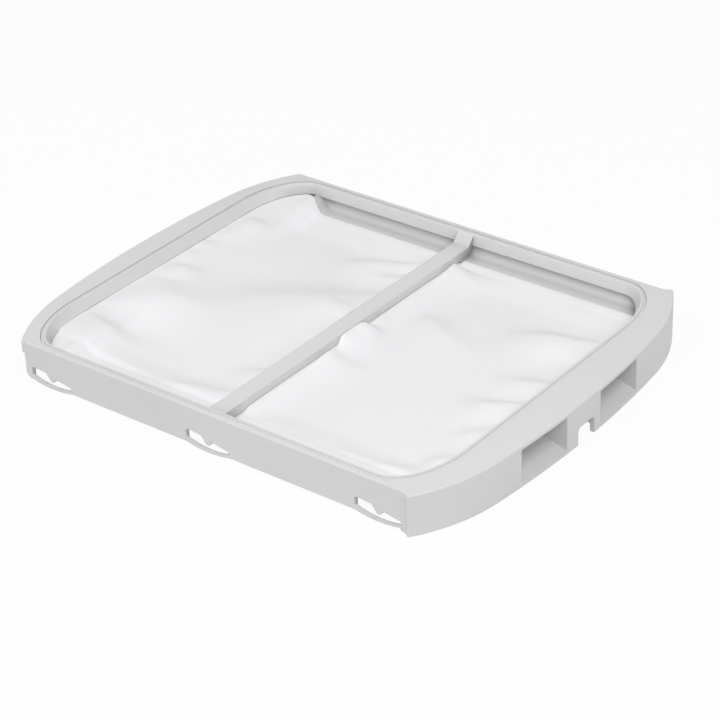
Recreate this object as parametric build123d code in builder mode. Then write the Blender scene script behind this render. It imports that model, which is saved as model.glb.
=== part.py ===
from build123d import *
from math import asin, cos, degrees, pi, radians, sin, sqrt, tan
import os

os.makedirs("parts", exist_ok=True)

# Plan of the outer frame, millimetres. Front and back are straight, both ends are bowed.
side_length = 260.0
body_depth = 238.5
end_bulge = 21.3
end_radius = 640.0
end_half_width = 74.0
horn_reach = 2.75
horn_base = 6.0
corner_round = 1.5
tip_round = 0.8

# Heights. The handle skirt stands lower than the other walls.
total_height = 23.6
wall_foot = 1.8
rim_height = 7.0
rim_step = 1.4
toe_chamfer = 2.2
top_round = 0.6

# Wall thicknesses of the outer frame.
flange = 1.8
end_wall = 2.0
skirt_wall = 2.6
well_wall = 1.8
well_depth = 5.4

# The groove between the outer frame and the mesh frame. The rim widths run to its outer edge.
rim_plain_end = 14.05
rim_handle_end = 21.05
rail = 2.65
groove_bend_x = 25.5
groove_bend_y = 43.5
groove_gap = 1.6
groove_depth = 0.55
seat_depth = 3.6
seat_width = 1.8
seat_clearance = 0.2
drop_clearance = 0.4

# The mesh frame, as distances inwards from the middle of the groove.
lip = 1.4
slope_depth = 6.0
slope_end_inset = 5.5
slope_side_inset = 4.4
web_end_inset = 3.4
web_side_inset = 3.6
frame_depth = 14.2
bar_width = 10.6
bar_ramp = 3.5
ledge_depth = 12.6
ledge_end_run = 25.0
ledge_rise_run = 14.0
ledge_thickness = 1.6
shelf_overlap = 0.1
window_side_inset = 20.0
window_end_inset = 9.8
window_round = 8.0
cove_run = 3.2
cove_start = 0.8

# The mesh sheet.
mesh_thickness = 0.5
mesh_clearance = 0.25
mesh_side_inset = 16.2
mesh_end_inset = 3.8

# Finger scoops and notch of the handle. The scoop's floor is a ramp that turns up into its back.
scoop_length = 37.5
scoop_post = 30.8
scoop_shift = -2.1
scoop_floor = 2.0
scoop_ramp = 17.0
scoop_turn = 5.0
scoop_depth = 18.5
scoop_shell = 1.8
notch_width = 15.0
notch_height = 10.0
notch_round = 2.5

# Spring lugs in the front and back walls.
lug_corner = 21.0
lug_left = 15.0
lug_right = 14.0
lug_thickness = 1.1

# How far the shapes of one moulding run into each other, and how far cuts run past it.
overlap = 0.5
overrun = 5.0

half_side = side_length / 2
half_depth = body_depth / 2
half_width = half_side + end_bulge
groove_x = (rim_plain_end - rim_handle_end) / 2
groove_half_x = half_width - (rim_plain_end + rim_handle_end + groove_gap) / 2
groove_half_y = half_depth - rail - groove_gap / 2
seat_inset = seat_width - groove_gap / 2
ledge_flat = groove_half_x - ledge_end_run - ledge_rise_run
lug_pitch = half_side - lug_corner

# Each bowed end is a long arc with a tighter tangent arc running to either corner.
end_turn = asin(end_half_width / end_radius)
end_centre = half_width - end_radius
join_x = end_centre + end_radius * cos(end_turn)
chord_x = half_side - join_x
chord_y = half_depth - end_half_width
corner_fall = chord_x * cos(end_turn) + chord_y * sin(end_turn)
corner_radius = -(chord_x**2 + chord_y**2) / (2 * corner_fall)
corner_centre_x = join_x - corner_radius * cos(end_turn)
corner_centre_y = end_half_width - corner_radius * sin(end_turn)
horn_y = half_depth + horn_reach


def end_x(inset, reach):
    """Half width of the plan at a distance from the middle line."""
    return corner_centre_x + sqrt((corner_radius - inset) ** 2 - (reach - corner_centre_y) ** 2)


horn_tip_x = end_x(0, horn_y)
horn_root_x = horn_tip_x - horn_base


def bowed_end(side, inset, reach):
    """Draws one bowed end, side 1 for the handle end and -1 for the other."""
    swing = degrees(asin((reach - corner_centre_y) / (corner_radius - inset)))
    middle = degrees(end_turn)
    facing = 0 if side > 0 else 180
    for turn in (-1, 1):
        start = facing - swing if turn < 0 else facing + middle
        centre = (side * corner_centre_x, side * turn * corner_centre_y)
        CenterArc(centre, corner_radius - inset, start, swing - middle)
    CenterArc((side * end_centre, 0), end_radius - inset, facing - middle, 2 * middle)


def plain_plan(left_inset, right_inset, half):
    """Draws the plan without horns, for the hollow."""
    left = end_x(left_inset, half)
    right = end_x(right_inset, half)
    Line((-left, -half), (right, -half))
    bowed_end(1, right_inset, half)
    Line((right, half), (-left, half))
    bowed_end(-1, left_inset, half)


def horned_plan(left_inset):
    """Draws the outer plan with the horns at the handle end."""
    left = end_x(left_inset, half_depth)
    Line((-left, -half_depth), (horn_root_x, -half_depth))
    TangentArc((horn_root_x, -half_depth), (horn_tip_x, -horn_y), tangent=(1, 0))
    bowed_end(1, 0, horn_y)
    TangentArc((horn_root_x, half_depth), (horn_tip_x, horn_y), tangent=(1, 0))
    Line((horn_root_x, half_depth), (-left, half_depth))
    bowed_end(-1, left_inset, half_depth)


def ring(end_inset, side_inset):
    """Draws the groove's path moved inwards, with elliptical corners."""
    far_x = groove_half_x - end_inset
    far_y = groove_half_y - side_inset
    near_x = groove_half_x - groove_bend_x
    near_y = groove_half_y - groove_bend_y
    bend_x = far_x - near_x
    bend_y = far_y - near_y
    for side_x, side_y, start in ((1, 1, 0), (-1, 1, 90), (-1, -1, 180), (1, -1, 270)):
        centre = (groove_x + side_x * near_x, side_y * near_y)
        EllipticalCenterArc(centre, bend_x, bend_y, start, arc_size=90)
    for side in (-1, 1):
        Line((groove_x - near_x, side * far_y), (groove_x + near_x, side * far_y))
        Line((groove_x + side * far_x, -near_y), (groove_x + side * far_x, near_y))


def ends_of(length):
    """Low and high Y of a finger scoop on each side of the post, with walls added."""
    first = scoop_post / 2
    added = (length - scoop_length) / 2
    return (
        (scoop_shift - first - scoop_length - added, scoop_shift - first + added),
        (scoop_shift + first - added, scoop_shift + first + scoop_length + added),
    )


# The scoop's ramp runs straight to the arc that turns it up into the scoop's back.
ramp_angle = radians(scoop_ramp)
ramp_run = scoop_depth - scoop_turn * (1 - sin(ramp_angle))
turn_x = half_width - scoop_depth + scoop_turn
turn_z = scoop_floor + ramp_run * tan(ramp_angle) + scoop_turn * cos(ramp_angle)


def scoop_profile(grown):
    """Draws a finger scoop's section, grown outwards by the wall thickness for its shell."""
    outside = half_width + overrun
    roof = total_height - flange
    radius = scoop_turn + grown
    back = turn_x - radius
    bend = (turn_x - radius * sin(ramp_angle), turn_z - radius * cos(ramp_angle))
    floor = bend[1] - (half_width - bend[0]) * tan(ramp_angle)
    Line((half_width, floor), bend)
    CenterArc((turn_x, turn_z), radius, 180, 90 - scoop_ramp)
    Polyline((back, turn_z), (back, roof), (outside, roof), (outside, floor), (half_width, floor))


def lug_points(nub, *points):
    """Moves points given from a lug's nub and the wall's foot to their place on the wall."""
    return [(nub + along, wall_foot + up) for along, up in points]


def strip_top(nub):
    """Draws the bowed edge between a lug's slot and its strip."""
    ThreePointArc(lug_points(nub, (-lug_left, 3.0), (0.5, 0.2), (lug_right, 1.8)))


# The space under the flange, with the shells of the two finger scoops left standing in it.
with BuildPart() as under_hollow:
    with BuildSketch():
        with BuildLine():
            plain_plan(rim_step + end_wall, skirt_wall, half_depth - rail)
        make_face()
    extrude(amount=total_height - well_depth)
    with BuildSketch(Plane.XY.offset(total_height - well_depth)):
        with BuildLine():
            plain_plan(rim_step + end_wall, skirt_wall, half_depth - rail)
        make_face()
        with BuildLine():
            ring(-groove_gap / 2 - well_wall, -groove_gap / 2 - well_wall)
        make_face(mode=Mode.SUBTRACT)
    extrude(amount=well_depth - flange)
    for low, high in ends_of(scoop_length + 2 * scoop_shell):
        with BuildSketch(Plane.XZ.offset(-high)):
            with BuildLine():
                scoop_profile(scoop_shell)
            make_face()
        extrude(amount=high - low, mode=Mode.SUBTRACT)

with BuildPart() as outer_frame:
    # Lower body, stepped in under the rim at the plain end.
    with BuildSketch() as lower_plan:
        with BuildLine():
            horned_plan(rim_step)
        make_face()
        fillet(lower_plan.vertices().filter_by(lambda v: abs(v.Y) > half_depth + 1), tip_round)
    extrude(amount=total_height - rim_height)
    with BuildSketch(Plane.XY.offset(total_height - rim_height)) as rim_plan:
        with BuildLine():
            horned_plan(0)
        make_face()
        fillet(rim_plan.vertices().filter_by(lambda v: abs(v.Y) > half_depth + 1), tip_round)
        fillet(rim_plan.vertices().filter_by(lambda v: abs(v.Y) > half_depth - 1 and v.X < 0), corner_round)
    extrude(amount=rim_height)

    # Every wall but the handle skirt stops short of the floor.
    with BuildSketch():
        with Locations((horn_root_x - side_length, 0)):
            Rectangle(2 * side_length, 2 * body_depth)
    extrude(amount=wall_foot, mode=Mode.SUBTRACT)

    # The plain end has a lead-in chamfer along its foot.
    foot_edges = outer_frame.edges().filter_by(lambda e: e.center().Z < wall_foot + overlap)
    chamfer(foot_edges.filter_by(lambda e: e.center().X < -half_side + overrun), toe_chamfer)

    add(under_hollow.part, mode=Mode.SUBTRACT)

    # Opening with its seat for the mesh frame.
    with BuildSketch(Plane.XY.offset(total_height - seat_depth)):
        with BuildLine():
            ring(-groove_gap / 2, -groove_gap / 2)
        make_face()
    extrude(amount=seat_depth, mode=Mode.SUBTRACT)
    with BuildSketch(Plane.XY.offset(total_height - well_depth)):
        with BuildLine():
            ring(seat_inset, seat_inset)
        make_face()
    extrude(amount=well_depth, mode=Mode.SUBTRACT)

    # Finger scoops under the flange, open to the outside.
    for low, high in ends_of(scoop_length):
        with BuildSketch(Plane.XZ.offset(-high)):
            with BuildLine():
                scoop_profile(0)
            make_face()
        extrude(amount=high - low, mode=Mode.SUBTRACT)

    # Notch in the foot of the post between the scoops.
    with BuildSketch(Plane.YZ.offset(half_width - scoop_depth / 3)) as notch:
        Rectangle(notch_width, 2 * notch_height)
        fillet(notch.vertices(), notch_round)
    extrude(amount=scoop_depth, mode=Mode.SUBTRACT)

    # Spring lugs: a slot with a stop nub in its upper edge over a thin strip that bows to the floor.
    for place in (-1, 0, 1):
        nub = place * lug_pitch
        with BuildSketch(Plane.XZ):
            with BuildLine():
                slot_left = ((-lug_left, -overlap), (-lug_left, 6.8), (-13.2, 7.8), (-4.6, 7.2), (-1.7, 3.2))
                slot_right = ((1.3, 3.4), (2.3, 5.3), (12.4, 3.7), (lug_right, 2.2), (lug_right, -overlap))
                Polyline(lug_points(nub, *slot_left))
                ThreePointArc(lug_points(nub, (-1.7, 3.2), (-0.2, 2.5), (1.3, 3.4)))
                Polyline(lug_points(nub, *slot_right))
                Line(lug_points(nub, (lug_right, -overlap), (-lug_left, -overlap)))
            make_face()
        extrude(amount=body_depth, both=True, mode=Mode.SUBTRACT)
        for inner_y in (half_depth - lug_thickness, -half_depth):
            with BuildSketch(Plane.XZ.offset(inner_y)):
                with BuildLine():
                    ThreePointArc(lug_points(nub, (lug_right, 0), (0, -wall_foot), (-lug_left, 0)))
                    Line(lug_points(nub, (-lug_left, 0), (-lug_left, 3.0)))
                    strip_top(nub)
                    Line(lug_points(nub, (lug_right, 1.8), (lug_right, 0)))
                make_face()
            extrude(amount=lug_thickness)

    # Soft edge round the top.
    top_face = outer_frame.faces().sort_by(Axis.Z)[-1]
    fillet(top_face.outer_wire().edges(), top_round)

outer_frame.part.label = "outer_frame"
export_step(outer_frame.part, "parts/outer_frame.step")


# Ledge profile: flat from the handle end on, and raised to the plain end on two tangent arcs.
ledge_end_depth = slope_depth + mesh_thickness + 2 * mesh_clearance
rise_middle = (ledge_depth + ledge_end_depth) / 2
shelf_height = mesh_thickness + 2 * mesh_clearance + shelf_overlap
shelf_y = groove_half_y - mesh_side_inset + mesh_clearance


def ledge_line(lowered):
    """Points of the ledge's section from the plain end to the handle end, at a depth under its top."""
    bends = (
        (-groove_half_x, ledge_end_depth),
        (-ledge_flat - ledge_rise_run, ledge_end_depth),
        (-ledge_flat - ledge_rise_run / 2, rise_middle),
        (-ledge_flat, ledge_depth),
        (groove_half_x, ledge_depth),
    )
    return [(groove_x + along, total_height - depth - lowered) for along, depth in bends]


def ledge_section(top, foot):
    """Draws the ledge's section between two depths under its top."""
    over = ledge_line(top)
    under = ledge_line(foot)
    for points in (over, under):
        Line(points[0], points[1])
        TangentArc(points[1], points[2], tangent=(1, 0))
        TangentArc(points[3], points[2], tangent=(-1, 0))
        Line(points[3], points[4])
    Line(over[0], under[0])
    Line(over[-1], under[-1])


# The ledge under the mesh, as one strip bent along X with the window cut out of it. A shelf beside the mesh
# ends where the rise to the plain end does. Their outer edges end inside the mesh frame's wall.
wall_middle = (seat_inset + drop_clearance + web_side_inset) / 2
shelf_z = total_height - ledge_depth + shelf_height
shelf_end = ledge_flat + ledge_rise_run
slope_foot_y = groove_half_y - slope_side_inset
slope_foot_z = total_height - slope_depth
cove_end = ledge_flat + cove_start * ledge_rise_run
with BuildPart() as ledge:
    with BuildSketch(Plane.XZ):
        with BuildLine():
            ledge_section(0, ledge_thickness)
        make_face()
    extrude(amount=groove_half_y, both=True)
    for start in (shelf_y, -groove_half_y):
        with BuildSketch(Plane.XZ.offset(start)):
            with BuildLine():
                ledge_section(-shelf_height, overlap)
            make_face()
            with Locations((groove_x - shelf_end, 0)):
                Rectangle(
                    groove_half_x,
                    2 * total_height,
                    align=(Align.MAX, Align.MIN),
                    mode=Mode.SUBTRACT,
                )
        extrude(amount=groove_half_y - shelf_y)

    # Coves along front and back that lead from the slope's foot down to the shelf.
    for side in (-1, 1):
        foot_y = side * (slope_foot_y - cove_run)
        with BuildSketch(Plane.YZ.offset(groove_x - cove_end)):
            with BuildLine():
                TangentArc((foot_y, shelf_z), (side * slope_foot_y, slope_foot_z), tangent=(side, 0))
                Polyline(
                    (side * slope_foot_y, slope_foot_z),
                    (side * (slope_foot_y + 2 * overlap), slope_foot_z + overlap),
                    (side * groove_half_y, slope_foot_z + overlap),
                    (side * groove_half_y, shelf_z - shelf_height - overlap),
                    (foot_y, shelf_z - shelf_height - overlap),
                    (foot_y, shelf_z),
                )
            make_face()
        extrude(amount=groove_half_x + cove_end)
    with BuildSketch():
        with BuildLine():
            ring(wall_middle, wall_middle)
        make_face()
        with Locations((groove_x, 0)):
            RectangleRounded(
                2 * (groove_half_x - window_end_inset),
                2 * (groove_half_y - window_side_inset),
                window_round,
                mode=Mode.SUBTRACT,
            )
    extrude(amount=total_height, mode=Mode.INTERSECT)

with BuildPart() as mesh_frame:
    # Wall below the seat, shoulder on the seat and collar inside the groove.
    with BuildSketch(Plane.XY.offset(total_height - frame_depth)):
        with BuildLine():
            ring(seat_inset + drop_clearance, seat_inset + drop_clearance)
        make_face()
    extrude(amount=frame_depth - seat_depth)
    with BuildSketch(Plane.XY.offset(total_height - seat_depth)):
        with BuildLine():
            ring(seat_clearance - groove_gap / 2, seat_clearance - groove_gap / 2)
        make_face()
    extrude(amount=seat_depth - groove_depth)
    with BuildSketch(Plane.XY.offset(total_height - groove_depth)):
        with BuildLine():
            ring(groove_gap / 2, groove_gap / 2)
        make_face()
    extrude(amount=groove_depth)

    # Inside slope, then the straight web below it.
    with BuildSketch(Plane.XY.offset(total_height)):
        with BuildLine():
            ring(groove_gap / 2 + lip, groove_gap / 2 + lip)
        make_face()
    with BuildSketch(Plane.XY.offset(total_height - slope_depth)):
        with BuildLine():
            ring(slope_end_inset, slope_side_inset)
        make_face()
    loft(ruled=True, mode=Mode.SUBTRACT)
    with BuildSketch(Plane.XY.offset(total_height - frame_depth)):
        with BuildLine():
            ring(web_end_inset, web_side_inset)
        make_face()
    extrude(amount=frame_depth - slope_depth, mode=Mode.SUBTRACT)

    add(ledge.part)

    # Cross bar, standing on the shelves at both ends and ramped up to the lip.
    bar_top = total_height - slope_depth
    bar_foot = total_height - ledge_depth + 2 * mesh_clearance + mesh_thickness
    bar_reach = groove_half_y - web_side_inset + overlap
    with BuildSketch(Plane.XY.offset(bar_foot)):
        with Locations((groove_x, 0)):
            Rectangle(bar_width, 2 * bar_reach)
    extrude(amount=bar_top - bar_foot)
    ramp_top = total_height - overlap / 2
    for side in (-1, 1):
        ramp_low = (side * (groove_half_y - slope_side_inset - bar_ramp), bar_top)
        ramp_high = (side * (groove_half_y - groove_gap / 2 - lip), ramp_top)
        ramp_back = side * (groove_half_y - groove_gap / 2 - lip / 2)
        with BuildSketch(Plane.YZ.offset(groove_x - bar_width / 2)):
            with BuildLine():
                Polyline(ramp_low, ramp_high, (ramp_back, ramp_top), (ramp_back, bar_top), close=True)
            make_face()
        extrude(amount=bar_width)

mesh_frame.part.label = "mesh_frame"
export_step(mesh_frame.part, "parts/mesh_frame.step")


# The mesh follows the ledge. Each pane between the bar and an end has soft folds that die out at its edges.
fold_height = 1.3
fold_pitch = 52.0
fold_sway = 10.0
fold_sway_run = 26.0
pane_margin = 3.5
pane_lap = 2.0
pane_near = bar_width / 2 + pane_margin
pane_side = groove_half_y - window_side_inset - pane_margin
pane_columns = 12
pane_rows = 28
pane_base = total_height - ledge_depth + mesh_clearance - mesh_thickness / 2
plain_pane = (-ledge_flat + pane_margin, -pane_near)
handle_pane = (pane_near, groove_half_x - window_end_inset - window_round)


def fold(low, high, along, across):
    """How far the mesh stands over or under its flat level at a point of the pane between low and high."""
    reach = (along - low) / (high - low)
    if reach <= 0 or reach >= 1 or abs(across) >= pane_side:
        return 0
    fade = (sin(pi * reach) * (1 - (across / pane_side) ** 2)) ** 2
    sway = fold_sway * sin(along / fold_sway_run)
    return fold_height * fade * sin(2 * pi * (across + sway) / fold_pitch)


def pane_face(low, high):
    """Lower side of one pane's folded mesh, which laps under the flat mesh round it."""
    points = []
    for column in range(pane_columns + 1):
        along = low - pane_lap + (high - low + 2 * pane_lap) * column / pane_columns
        line = []
        for row in range(pane_rows + 1):
            across = (pane_side + pane_lap) * (2 * row / pane_rows - 1)
            line.append(Vector(groove_x + along, across, pane_base + fold(low, high, along, across)))
        points.append(line)
    return Face.make_surface_from_array_of_points(points, tol=0.02)


with BuildPart() as filter_mesh:
    with BuildSketch(Plane.XZ):
        with BuildLine():
            ledge_section(-mesh_clearance - mesh_thickness, -mesh_clearance)
        make_face()
    extrude(amount=groove_half_y - mesh_side_inset, both=True)
    with BuildSketch():
        with BuildLine():
            ring(mesh_end_inset, web_side_inset + mesh_end_inset - web_end_inset)
        make_face()
    extrude(amount=total_height, mode=Mode.INTERSECT)

    # Past the shelves' ends the mesh runs out into the corners of the plain end.
    with BuildSketch(Plane.XY.offset(total_height - ledge_end_depth + mesh_clearance)):
        with BuildLine():
            ring(mesh_end_inset, web_side_inset + mesh_end_inset - web_end_inset)
        make_face()
        with Locations((groove_x - shelf_end - mesh_clearance, 0)):
            Rectangle(
                groove_half_x,
                2 * groove_half_y,
                align=(Align.MAX, Align.CENTER),
                mode=Mode.INTERSECT,
            )
    extrude(amount=mesh_thickness)
    for low, high in (plain_pane, handle_pane):
        with BuildSketch():
            with Locations((groove_x + (low + high) / 2, 0)):
                Rectangle(high - low, 2 * pane_side)
        extrude(amount=total_height, mode=Mode.SUBTRACT)
        extrude(pane_face(low, high), amount=mesh_thickness, dir=(0, 0, 1))

filter_mesh.part.label = "filter_mesh"
export_step(filter_mesh.part, "parts/filter_mesh.step")
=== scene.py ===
"""Looks of the lint filter tray: satin plastic, a wrinkled woven mesh, floor, soft light and camera."""

import math

import bpy
import numpy as np
from mathutils import Matrix, Vector


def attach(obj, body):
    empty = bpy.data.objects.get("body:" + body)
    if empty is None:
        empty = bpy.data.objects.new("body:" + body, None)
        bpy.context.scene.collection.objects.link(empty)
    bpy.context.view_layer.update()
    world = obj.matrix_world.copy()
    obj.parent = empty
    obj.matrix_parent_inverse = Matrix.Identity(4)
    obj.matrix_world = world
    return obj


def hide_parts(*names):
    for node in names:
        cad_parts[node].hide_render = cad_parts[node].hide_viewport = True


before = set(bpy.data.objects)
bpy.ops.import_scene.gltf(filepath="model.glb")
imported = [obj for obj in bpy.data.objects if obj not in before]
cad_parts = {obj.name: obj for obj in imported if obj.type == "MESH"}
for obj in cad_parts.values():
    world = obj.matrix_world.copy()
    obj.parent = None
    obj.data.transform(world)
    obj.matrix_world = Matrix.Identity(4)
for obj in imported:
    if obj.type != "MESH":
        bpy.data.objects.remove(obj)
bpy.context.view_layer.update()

millimetre = 0.001

# Camera, found by fitting the tray's corners to the picture. Lengths in metres, the sensor in millimetres.
view_azimuth = math.radians(38.59)
view_elevation = math.radians(30.89)
view_roll = math.radians(-2.30)
view_distance = 1.23458
aim_point = Vector((0.04813, -0.05298, 0.03851))
picture_side = 720
focal_pixels = 2420.89
sensor_side = 36.0
nearest_seen = 0.01
farthest_seen = 100

# Floor, in metres: its own tone and glow, and the share of pure white that the camera sees.
floor_side = 12
floor_parts = 8
floor_level = -0.0002
floor_tone = 0.58
floor_glow = 0.2
floor_white = 0.94

# Colours: the two tones between which each surface changes, and the painted shade tone of the coves.
frame_tones = ((0.668, 0.668, 0.668), (0.694, 0.694, 0.694))
inner_tones = ((0.675, 0.675, 0.675), (0.7, 0.7, 0.7))
painted_shade_tone = (0.16, 0.16, 0.16)
mesh_tones = ((0.782, 0.782, 0.796), (0.876, 0.876, 0.891))
white = (1, 1, 1, 1)

# The middle of a noise's values, which is spread over the whole range of a look.
noise_low = 0.3
noise_high = 0.7

# Painted shade in the coves of the inner moulding, from ambient occlusion: heights and distances across,
# between which they turn dark, then the reach of the shading, all in millimetres. After those come its
# samples and its largest share.
cove_dark_below = 22.2
cove_plain_above = 22.9
cove_start = 92
cove_full = 104
hollow_reach = 10
hollow_samples = 6
most_closed = 1.08

# Weave of the mesh: pitch in millimetres, and the share of slow changes of tone.
thread_pitch = 0.55
cloud_share = 0.35
# At scale 1 a wave texture has this many radians to the metre.
wave_radians = 20

# Mesh, in millimetres. Along is counted from the middle of the bar, across from the tray's middle line.
bar_x = -3.5
bar_half = 5.3
mesh_half_width = 99.6
mesh_half_length = 129.15
mesh_level = 11.5
mesh_rise = 5.68
cloth_thickness = 0.36

# Oval corners of the mesh: where they start, and how far they reach from there.
corner_start_y = 72.3
corner_start_x = 107.45
corner_reach_x = 21.7
corner_reach_y = 39.5

# Shelves along front and back, on which the mesh's edge lies a little higher.
shelf_half_width = 102.0
shelf_end = 107.95
shelf_fade = 4.5
shelf_lift = 0.9
shelf_lift_fall = 0.26
shelf_lift_line = 93.6
shelf_lift_run = 6.0

# Spread of the mesh into the corners of the plain end.
fan_half_width = 110.5
fan_start = 94.0
fan_end = 113.5

# Rise towards the plain end: short on the ledges, long between them.
ledge_rise_start = 93.95
ledge_rise_run = 14.0
free_rise_start = 66.0
free_rise_run = 54.0
free_line = 30.0

# Ledges under the mesh, collars over its ends, and its sag between them.
ledge_line = 95.8
ledge_fade = 4.0
ledge_sag = 2.0
ledge_sag_run = 18.0
end_ledge_line = 123.15
end_ledge_fade = 4.0
collar_line = 127.3
collar_fade = 1.8

# Mesh at the bar: flat under it, higher against its sides, and standing up in one place on the handle side.
# The widening is a multiple of the distance from the bar.
bar_slack = 0.05
bar_gap = 0.5
bar_fade = 2.4
bar_lift = 1.0
bar_lift_reach = 3.2
bar_lift_fade = 8.0
handle_lift = 1.8
handle_lift_reach = 5.0
stand_height = 4.3
stand_y = -2.4
stand_half = 13.0
stand_fade = 6.0
stand_widening = 2.2
stand_reach = 13.0

# Form of the folds. Scale and spread multiply all heights and widths, offset and gentle side are in widths,
# full and falling are shares of a fold's line, and growth is height for each millimetre away from the end.
fold_steps = 40
fold_scale = 2.6
fold_spread = 1.4
fold_offset = 0.7
fold_gentle_side = 2
fold_full = 0.3
fold_falling = 0.4
fold_run_out = 9.0
end_fold_height = 0.3
end_fold_growth = 0.17

# Unevenness all over the mesh: heights in millimetres, wave lengths in millimetres for each radian.
small_wave_height = 0.10
small_wave_x = 7.3
small_wave_y = 8.9
small_wave_shift = 0.7
small_wave_bend = 1.1
small_wave_bend_y = 17
broad_wave_height = 0.30
broad_wave_x = 21
broad_wave_slant_y = 33
broad_wave_shift = 0.4
broad_wave_y = 19
broad_wave_slant_x = 47

# Folds, chosen from the picture. Each has the start, the pull and the end of its line as x and y,
# its height, its width at the start and at the end, and the share of its height that it has at its start.
mesh_folds = (
    # Folds that fan out from the slope's foot at the plain end, from back to front.
    ((-133, 61), (-121, 67), (-104, 69), 1.3, 2.6, 5, 1),
    ((-131, 49), (-125, 51), (-114, 50), 1.0, 2.4, 4, 1),
    ((-134, 28), (-129, 30), (-116, 34), 0.7, 1.6, 4, 1),
    ((-133, 15), (-128, 16), (-116, 20), 0.6, 1.6, 4, 1),
    ((-132, -7), (-120, 0), (-100, 10), 1.1, 2.4, 6, 1),
    ((-132, -24), (-116, -19), (-94, -10), 1.0, 3, 7, 1),
    ((-132, -39), (-108, -24), (-58, -12), 2.0, 4, 12, 1),
    ((-130, -71), (-105, -76), (-66, -64), 1.9, 3, 10, 1),
    # The broad fold from the middle of the plain pane to the bar.
    ((-10, 45), (-60, 20), (-136, -42), 2.7, 10, 18, 0.4),
    # Folds of the plain pane along the front and at the bar.
    ((-96, -101), (-78, -91), (-58, -90), 0.5, 4, 6, 0.5),
    ((-10, -81), (-37, -84), (-62, -94), 0.9, 4, 8, 0.7),
    ((-10, 84), (-40, 77), (-68, 60), 1.6, 3, 6, 1),
    ((-10, 68), (-24, 62), (-42, 60), 0.9, 2.4, 5, 1),
    ((-10, 18), (-26, 18), (-44, 24), 0.9, 3, 6, 0.2),
    ((-10, -55), (-20, -58), (-34, -58), 0.7, 2.4, 5, 1),
    # Folds of the handle pane that start at the bar.
    ((2, 95), (16, 89), (36, 83), 1.3, 3, 6, 1),
    ((14, 46), (44, 35), (76, 22), 1.1, 5, 9, 0),
    ((3, -22), (16, -22), (36, -22), 0.9, 4, 7, 1),
    ((3, 9), (8, 11), (15, 13), 0.8, 2, 3, 1),
    # Folds of the handle pane that start at the handle end.
    ((124, 63), (88, 66), (52, 44), 2.1, 3.6, 10, 1),
    ((124, 17), (104, 16), (84, 10), 1.2, 3, 6, 1),
    ((124, -8), (100, -11), (80, -24), 1.5, 3, 7, 1),
    ((124, -34), (109, -38), (94, -56), 0.9, 3, 6, 1),
    ((122, -67), (110, -70), (98, -74), 0.8, 3, 6, 1),
    # Folds of the handle pane along the front.
    ((2, -99), (19, -92), (44, -96), 0.7, 4, 6, 1),
    ((60, -97), (77, -91), (96, -94), 0.7, 4, 6, 0.3),
    ((84, -95), (99, -88), (118, -80), 0.8, 4, 6, 0.3),
)

# Grid of the mesh: steps from front to back, then where half a row has its points under the bar,
# beside it and away from it, in millimetres from the bar's side, and how many.
mesh_rows = 168
under_margin = 0.3
under_points = 3
beside_reach = 4
beside_points = 17
free_start = 5
free_points = 92


def material(name):
    """A new node material, with its nodes, its links, its shader and the object's own coordinates."""
    made = bpy.data.materials.new(name)
    made.use_nodes = True
    nodes = made.node_tree.nodes
    place = nodes.new("ShaderNodeTexCoord")
    return made, nodes, made.node_tree.links, nodes["Principled BSDF"], place.outputs["Object"]


def calculate(nodes, links, operation, *terms):
    """Result of a maths node whose terms are sockets or plain numbers."""
    made = nodes.new("ShaderNodeMath")
    made.operation = operation
    for entry, term in zip(made.inputs, terms):
        if isinstance(term, bpy.types.NodeSocket):
            links.new(term, entry)
        else:
            entry.default_value = term
    return made.outputs["Value"]


def remap(nodes, links, source, start, end, low, high):
    """Maps the stretch from start to end onto the one from low to high, which it does not leave."""
    made = nodes.new("ShaderNodeMapRange")
    made.inputs["From Min"].default_value = start
    made.inputs["From Max"].default_value = end
    made.inputs["To Min"].default_value = low
    made.inputs["To Max"].default_value = high
    links.new(source, made.inputs["Value"])
    return made.outputs["Result"]


def noise(nodes, links, place, scale, detail):
    """Noise texture over the object's own coordinates."""
    made = nodes.new("ShaderNodeTexNoise")
    made.inputs["Scale"].default_value = scale
    made.inputs["Detail"].default_value = detail
    links.new(place, made.inputs["Vector"])
    return made.outputs["Fac"]


def spread(nodes, links, source, low, high):
    """Maps the middle of a noise to the stretch from low to high."""
    return remap(nodes, links, source, noise_low, noise_high, low, high)


def two_colours(nodes, links, source, first, second):
    """Colour ramp from one colour to a second one, over the middle of a noise."""
    made = nodes.new("ShaderNodeValToRGB")
    made.color_ramp.elements[0].position = noise_low
    made.color_ramp.elements[0].color = (*first, 1)
    made.color_ramp.elements[1].position = noise_high
    made.color_ramp.elements[1].color = (*second, 1)
    links.new(source, made.inputs["Fac"])
    return made.outputs["Color"]


def bump(nodes, links, height, strength, distance, normal=None):
    """Bump node with a distance in millimetres, on top of another normal where one is given."""
    made = nodes.new("ShaderNodeBump")
    made.inputs["Strength"].default_value = strength
    made.inputs["Distance"].default_value = distance * millimetre
    links.new(height, made.inputs["Height"])
    if normal is not None:
        links.new(normal, made.inputs["Normal"])
    return made.outputs["Normal"]


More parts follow.
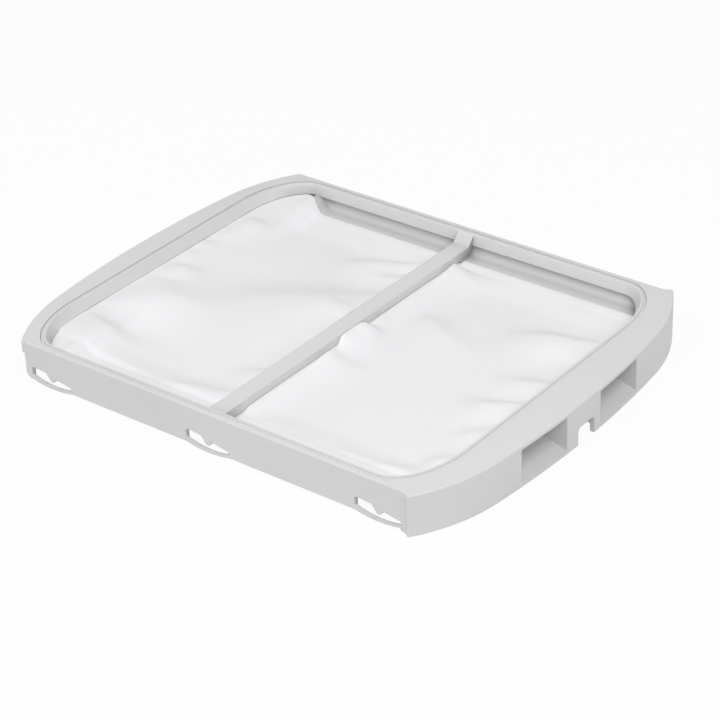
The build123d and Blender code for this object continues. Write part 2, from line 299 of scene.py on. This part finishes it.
def painted_cove_shade(nodes, links, place, colour, shade_tone):
    """A colour with painted shade: darker along front and back below the rim, most of all in the coves."""
    # Painted shade: an ambient occlusion node darkens the colour, only along front and back below the rim.
    hollow = nodes.new("ShaderNodeAmbientOcclusion")
    hollow.samples = hollow_samples
    hollow.inputs["Distance"].default_value = hollow_reach * millimetre
    parts = nodes.new("ShaderNodeSeparateXYZ")
    links.new(place, parts.inputs["Vector"])
    below = remap(
        nodes, links, parts.outputs["Z"],
        cove_dark_below * millimetre, cove_plain_above * millimetre, low=1, high=0,
    )
    outward = calculate(nodes, links, "ABSOLUTE", parts.outputs["Y"])
    beside = remap(nodes, links, outward, cove_start * millimetre, cove_full * millimetre, low=0, high=1)
    cove = calculate(nodes, links, "MULTIPLY", below, beside)
    closed = calculate(nodes, links, "SUBTRACT", most_closed, hollow.outputs["AO"])
    made = nodes.new("ShaderNodeMixRGB")
    made.inputs["Color2"].default_value = (*shade_tone, 1)
    links.new(calculate(nodes, links, "MULTIPLY", closed, cove), made.inputs["Fac"])
    links.new(colour, made.inputs["Color1"])
    return made.outputs["Color"]


def plastic(name, tones, shade_tone=None):
    """Satin moulded plastic: fine spark texture, softly rounded edges, slow changes of tone.

    Where a painted shade tone is given, the coves turn to it as painted shade.
    """
    made, nodes, links, shader, place = material(name)
    cloudy = noise(nodes, links, place, scale=16, detail=3)
    colour = two_colours(nodes, links, cloudy, *tones)
    # Painted shade in the coves, where a shade tone is given.
    if shade_tone is not None:
        colour = painted_cove_shade(nodes, links, place, colour, shade_tone)
    links.new(colour, shader.inputs["Base Color"])
    patchy = noise(nodes, links, place, scale=60, detail=4)
    links.new(spread(nodes, links, patchy, low=0.36, high=0.5), shader.inputs["Roughness"])
    soft_edge = nodes.new("ShaderNodeBevel")
    soft_edge.samples = 4
    soft_edge.inputs["Radius"].default_value = 0.5 * millimetre
    slow = noise(nodes, links, place, scale=45, detail=1)
    waves = bump(nodes, links, slow, strength=0.1, distance=0.6, normal=soft_edge.outputs["Normal"])
    fine = noise(nodes, links, place, scale=2600, detail=2)
    spark = bump(nodes, links, fine, strength=0.12, distance=0.04, normal=waves)
    links.new(spark, shader.inputs["Normal"])
    shader.inputs["Specular IOR Level"].default_value = 0.4
    return made


def threads(nodes, links, place, direction):
    """Evenly spaced threads that run across one direction."""
    made = nodes.new("ShaderNodeTexWave")
    made.wave_type = "BANDS"
    made.bands_direction = direction
    made.inputs["Scale"].default_value = 2 * math.pi / (wave_radians * thread_pitch * millimetre)
    links.new(place, made.inputs["Vector"])
    return made.outputs["Fac"]


def woven(name, tones):
    """Fine filament net: threads both ways in colour and bump, with a little sheen."""
    made, nodes, links, shader, place = material(name)
    both_ways = (threads(nodes, links, place, direction) for direction in ("X", "Y"))
    weave = calculate(nodes, links, "MAXIMUM", *both_ways)
    cloudy = noise(nodes, links, place, scale=22, detail=3)
    lit_threads = spread(nodes, links, weave, low=0.1, high=0.5)
    tone = calculate(nodes, links, "MULTIPLY_ADD", cloudy, cloud_share, lit_threads)
    links.new(two_colours(nodes, links, tone, *tones), shader.inputs["Base Color"])
    links.new(spread(nodes, links, cloudy, low=0.55, high=0.7), shader.inputs["Roughness"])
    links.new(bump(nodes, links, weave, strength=0.35, distance=0.12), shader.inputs["Normal"])
    shader.inputs["Sheen Weight"].default_value = 0.1
    shader.inputs["Specular IOR Level"].default_value = 0.3
    return made


def smooth(value):
    """Smooth step from 0 to 1."""
    held = np.clip(value, 0, 1)
    return held * held * (3 - 2 * held)


def past_bar(along):
    """0 under the bar, 1 away from it."""
    return smooth((np.abs(along) - bar_half - bar_gap) / bar_fade)


def off_ledge(across, fade):
    """0 on the ledges along front and back, 1 away from them."""
    return smooth((ledge_line - np.abs(across)) / fade)


def rise(distance, start, run):
    """Height gained along two arcs that start flat and end flat."""
    done = np.clip(distance - start, 0, run)
    radius = (run ** 2 + mesh_rise ** 2) / (4 * mesh_rise)
    first = radius - np.sqrt(radius ** 2 - np.minimum(done, run / 2) ** 2)
    second = radius - np.sqrt(radius ** 2 - np.minimum(run - done, run / 2) ** 2)
    return np.where(done < run / 2, first, mesh_rise - second)


def base_level(along, across):
    """Height of the mesh's middle with no folds, with its rise to the plain end."""
    on_ledge = rise(-along, ledge_rise_start, ledge_rise_run)
    free = rise(-along, free_rise_start, free_rise_run)
    share = smooth((np.abs(across) - free_line) / (ledge_line - free_line))
    return mesh_level + free + (on_ledge - free) * share


def beside_bar(along, across):
    """Height that the mesh gains against the bar's sides, most of all where it stands up."""
    past = np.abs(along) - bar_half
    free = np.maximum(past - bar_gap, 0)
    widening = stand_widening * free
    inside = stand_half + widening / 2 - np.abs(across - stand_y)
    stands = stand_height * smooth(inside / (stand_fade + widening)) * np.exp(-free / stand_reach)
    handle = stands + handle_lift * np.exp(-free / handle_lift_reach)
    plain = bar_lift * np.exp(-free / bar_lift_reach)
    return np.where(along > 0, handle, plain) * smooth((past - bar_slack) / bar_gap)


def onto_shelf(along, across):
    """Height that the mesh's edge gains where it lies on the shelves."""
    lift = shelf_lift - shelf_lift_fall * rise(-along, ledge_rise_start, ledge_rise_run) / mesh_rise
    over = smooth((np.abs(across) - shelf_lift_line) / shelf_lift_run)
    return lift * over * past_bar(along) * smooth((along + shelf_end + shelf_fade) / shelf_fade)


def sag(along, across):
    """How far the mesh hangs down between the ledges and between the bar and the ends."""
    sides = off_ledge(across, ledge_sag_run)
    ends = smooth((end_ledge_line - np.abs(along)) / ledge_sag_run)
    middle = smooth((np.abs(along) - bar_half) / ledge_sag_run)
    return ledge_sag * sides * ends * middle


def bend(start, middle, end, t):
    """Point of a bent line through a pull in its middle, t from 0 to 1."""
    return tuple(
        (1 - t) ** 2 * first + 2 * t * (1 - t) * second + t ** 2 * third
        for first, second, third in zip(start, middle, end)
    )


def ridge(x, y, start, middle, end, height, narrow, wide, held):
    """One fold along a bent line, gentle towards the front and steep towards the back.

    The line follows the steep side. The fold is narrow at its start and wide and low at its end, and held is
    the share of its height that it has at its start.
    """
    best = np.full(x.shape, np.inf)
    along = np.zeros(x.shape)
    side = np.zeros(x.shape)
    for step in range(fold_steps + 1):
        t = step / fold_steps
        spot_x, spot_y = bend(start, middle, end, t)
        from_x = x - spot_x
        from_y = y - spot_y
        # Half of what the line moves for each unit of t.
        ahead_x = (1 - t) * (middle[0] - start[0]) + t * (end[0] - middle[0])
        ahead_y = (1 - t) * (middle[1] - start[1]) + t * (end[1] - middle[1])
        length = math.hypot(ahead_x, ahead_y)
        square = from_x ** 2 + from_y ** 2
        nearer = square < best
        best = np.where(nearer, square, best)
        along = np.where(nearer, t + (from_x * ahead_x + from_y * ahead_y) / (2 * length ** 2), along)
        backward = (ahead_x * from_y - ahead_y * from_x) / math.copysign(length, ahead_x)
        side = np.where(nearer, backward, side)
    before = np.maximum(-along, 0) * 2 * math.dist(start, middle)
    steep = fold_spread * (narrow + (wide - narrow) * np.clip(along, 0, 1))
    offset = side + fold_offset * steep
    width = np.where(offset > 0, steep, fold_gentle_side * steep)
    growing = held + (1 - held) * smooth(along / fold_full)
    falling = 1 - smooth((along - fold_falling) / (1 - fold_falling))
    fade = growing * falling * smooth(1 - before / fold_run_out)
    return fold_scale * height * fade * np.exp(-(offset / width) ** 2)


def folds(x, y):
    """Height that unevenness and folds add to the mesh at points of the tray's plane."""
    bent = small_wave_bend * np.sin(y / small_wave_bend_y)
    total = small_wave_height * np.sin(x / small_wave_x + bent) * np.sin(y / small_wave_y + small_wave_shift)
    slanted = np.sin(x / broad_wave_x + y / broad_wave_slant_y + broad_wave_shift)
    total += broad_wave_height * slanted * np.sin(y / broad_wave_y - x / broad_wave_slant_x)
    for fold in mesh_folds:
        total += ridge(x, y, *fold)
    return total


def hold_down(along, across):
    """Share of the folds that is left: none on the ledges, under the bar and under the collars."""
    ends = smooth((collar_line - np.abs(along)) / collar_fade)
    return ends * past_bar(along) * off_ledge(across, ledge_fade)


def low_at_ends(raised, along):
    """Keeps folds that stand up low near the slope's foot, and lets them grow away from it."""
    limit = end_fold_height + end_fold_growth * np.maximum(collar_line - np.abs(along), 0)
    return limit * np.tanh(raised / limit)


def end_reach(across):
    """How far the mesh reaches from the bar at a distance across it: straight ends with oval corners."""
    past = np.clip((np.abs(across) - corner_start_y) / corner_reach_y, 0, 1)
    corner = corner_start_x + corner_reach_x * np.sqrt(1 - past ** 2)
    return np.where(np.abs(across) <= corner_start_y, mesh_half_length, corner)


def half_width(along):
    """Half the mesh's width: least under the bar, and spreading into the corners of the plain end."""
    fan = smooth((-along - fan_start) / (fan_end - fan_start))
    wide = shelf_half_width + (fan_half_width - shelf_half_width) * fan
    return mesh_half_width + (wide - mesh_half_width) * past_bar(along)


def one_half(reach):
    """Distances from the bar for half a row: few under it, close together beside it, even from there on."""
    under = np.linspace(0, bar_half - under_margin, under_points)
    beside = np.linspace(bar_half, bar_half + beside_reach, beside_points)
    free = np.linspace(bar_half + free_start, reach, free_points)
    return np.concatenate([under, beside, free])


def mesh_grid():
    """Points of the mesh's middle, in rows along it that spread out at the plain end."""
    share = np.linspace(-1, 1, mesh_rows + 1)
    rows = []
    for part in share:
        plain = one_half(end_reach(part * fan_half_width))
        handle = one_half(end_reach(part * shelf_half_width))
        rows.append(np.concatenate([-plain[:0:-1], handle]))
    along = np.stack(rows)
    across = share[:, None] * half_width(along)
    x = along + bar_x
    # A ledge lies under the mesh at the ends, so folds only stand up there.
    over_ledge = smooth((np.abs(along) - end_ledge_line + end_ledge_fade) / end_ledge_fade)
    raised = (folds(x, across) - sag(along, across)) * hold_down(along, across)
    raised = np.where(raised < 0, raised * (1 - over_ledge), low_at_ends(raised, along))
    level = base_level(along, across) + beside_bar(along, across) * off_ledge(across, bar_lift_fade)
    level = level + onto_shelf(along, across) + raised
    return np.stack([x, across, level], axis=2) * millimetre


def in_scene(name, data):
    """A new object with this data in the scene."""
    made = bpy.data.objects.new(name, data)
    bpy.context.scene.collection.objects.link(made)
    return made


def cloth(name, grid):
    """A sheet of quads through rows of points, with even thickness."""
    number = np.arange(grid.shape[0] * grid.shape[1]).reshape(grid.shape[:2])
    corners = np.stack([number[:-1, :-1], number[:-1, 1:], number[1:, 1:], number[1:, :-1]], axis=2)
    faces = corners.reshape(-1, 4).tolist()
    data = bpy.data.meshes.new(name)
    data.from_pydata(grid.reshape(-1, 3).tolist(), [], faces)
    data.polygons.foreach_set("use_smooth", [True] * len(faces))
    data.update()
    made = in_scene(name, data)
    thick = made.modifiers.new("thickness", "SOLIDIFY")
    thick.thickness = cloth_thickness * millimetre
    thick.offset = 0
    return made


def flat_sheet(name, side, parts, level):
    """A square sheet of the floor, divided so that it is a real grid."""
    edge = np.linspace(-side / 2, side / 2, parts + 1)
    points = [(x, y, level) for y in edge for x in edge]
    faces = []
    for row in range(parts):
        for column in range(parts):
            corner = row * (parts + 1) + column
            faces.append((corner, corner + 1, corner + parts + 2, corner + parts + 1))
    data = bpy.data.meshes.new(name)
    data.from_pydata(points, [], faces)
    return in_scene(name, data)


def empty_tree(owner):
    """Nodes and links of a material or world, with nothing in them yet."""
    owner.use_nodes = True
    owner.node_tree.nodes.clear()
    return owner.node_tree.nodes, owner.node_tree.links


def white_light(nodes, kind, strength):
    """White light of one strength from an emission or background node."""
    made = nodes.new(kind)
    made.inputs["Color"].default_value = white
    made.inputs["Strength"].default_value = strength
    return made.outputs[0]


def choice(nodes, links, share, first, second):
    """Mix of two shaders, with a share of the second one."""
    made = nodes.new("ShaderNodeMixShader")
    links.new(share, made.inputs["Fac"])
    links.new(first, made.inputs[1])
    links.new(second, made.inputs[2])
    return made.outputs["Shader"]


def seen_rays(nodes, links):
    """1 for rays that come from the camera, a mirror or glass, 0 for light on the object."""
    seen = nodes.new("ShaderNodeLightPath").outputs
    direct = calculate(nodes, links, "MAXIMUM", seen["Is Camera Ray"], seen["Is Glossy Ray"])
    return calculate(nodes, links, "MAXIMUM", direct, seen["Is Transmission Ray"])


def floor_material():
    """White floor that keeps a light shadow, lights the underside a little and is clear from below."""
    made = bpy.data.materials.new("floor_white")
    nodes, links = empty_tree(made)
    out = nodes.new("ShaderNodeOutputMaterial")
    matt = nodes.new("ShaderNodeBsdfDiffuse")
    matt.inputs["Color"].default_value = (floor_tone, floor_tone, floor_tone, 1)
    plain = nodes.new("ShaderNodeAddShader")
    links.new(matt.outputs["BSDF"], plain.inputs[0])
    links.new(white_light(nodes, "ShaderNodeEmission", floor_glow), plain.inputs[1])
    seen_white = white_light(nodes, "ShaderNodeEmission", strength=1)
    seen_share = calculate(nodes, links, "MULTIPLY", seen_rays(nodes, links), floor_white)
    lit = choice(nodes, links, seen_share, plain.outputs["Shader"], seen_white)
    clear = nodes.new("ShaderNodeBsdfTransparent")
    facing = nodes.new("ShaderNodeNewGeometry")
    sided = choice(nodes, links, facing.outputs["Backfacing"], lit, clear.outputs["BSDF"])
    links.new(sided, out.inputs["Surface"])
    return made


def world_light(strength):
    """Even light from all round, with a white background."""
    world = bpy.data.worlds.new("studio")
    bpy.context.scene.world = world
    nodes, links = empty_tree(world)
    out = nodes.new("ShaderNodeOutputWorld")
    ambient = white_light(nodes, "ShaderNodeBackground", strength)
    backdrop = white_light(nodes, "ShaderNodeBackground", strength=1)
    links.new(choice(nodes, links, seen_rays(nodes, links), ambient, backdrop), out.inputs["Surface"])


def soft_box(name, place, target, side, power):
    """A square area lamp that faces a point, in metres and watts."""
    lamp = bpy.data.lights.new(name, "AREA")
    lamp.size = side
    lamp.energy = power
    made = in_scene(name, lamp)
    made.location = place
    made.rotation_mode = "QUATERNION"
    made.rotation_quaternion = (Vector(target) - Vector(place)).to_track_quat("-Z", "Y")


def picture_camera():
    """The camera of the picture."""
    back = Vector((
        math.sin(view_azimuth) * math.cos(view_elevation),
        -math.cos(view_azimuth) * math.cos(view_elevation),
        math.sin(view_elevation),
    ))
    level_right = Vector((math.cos(view_azimuth), math.sin(view_azimuth), 0))
    level_up = back.cross(level_right)
    right = math.cos(view_roll) * level_right + math.sin(view_roll) * level_up
    up = math.cos(view_roll) * level_up - math.sin(view_roll) * level_right
    data = bpy.data.cameras.new("picture_camera")
    data.sensor_width = sensor_side
    data.lens = focal_pixels / picture_side * sensor_side
    data.clip_start = nearest_seen
    data.clip_end = farthest_seen
    made = in_scene("picture_camera", data)
    made.matrix_world = Matrix.Translation(aim_point + view_distance * back) @ Matrix((
        (right.x, up.x, back.x, 0),
        (right.y, up.y, back.y, 0),
        (right.z, up.z, back.z, 0),
        (0, 0, 0, 1),
    ))
    bpy.context.scene.camera = made


# The two mouldings keep their CAD shape and get the plastic. The inner one gets painted shade in its coves.
frame_plastic = plastic("frame_plastic", frame_tones)
inner_plastic = plastic("inner_plastic", inner_tones, shade_tone=painted_shade_tone)
for node, look in (("outer_frame", frame_plastic), ("mesh_frame", inner_plastic)):
    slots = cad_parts[node].data.materials
    slots.clear()
    slots.append(look)

# The mesh is a soft sheet of its own.
sheet = cloth("filter_cloth", mesh_grid())
sheet.data.materials.append(woven("mesh_cloth", mesh_tones))
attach(sheet, "root")
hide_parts("filter_mesh")

floor = flat_sheet("floor", floor_side, floor_parts, floor_level)
floor.data.materials.append(floor_material())

world_light(strength=0.385)
soft_box("key", place=(-0.38, -1.05, 1.42), target=(0, 0, 0), side=0.9, power=11.3)
soft_box("side", place=(0.87, -0.46, 1.16), target=(0, 0, 0), side=0.8, power=10.5)

picture_camera()
bpy.context.scene.view_settings.view_transform = "Standard"
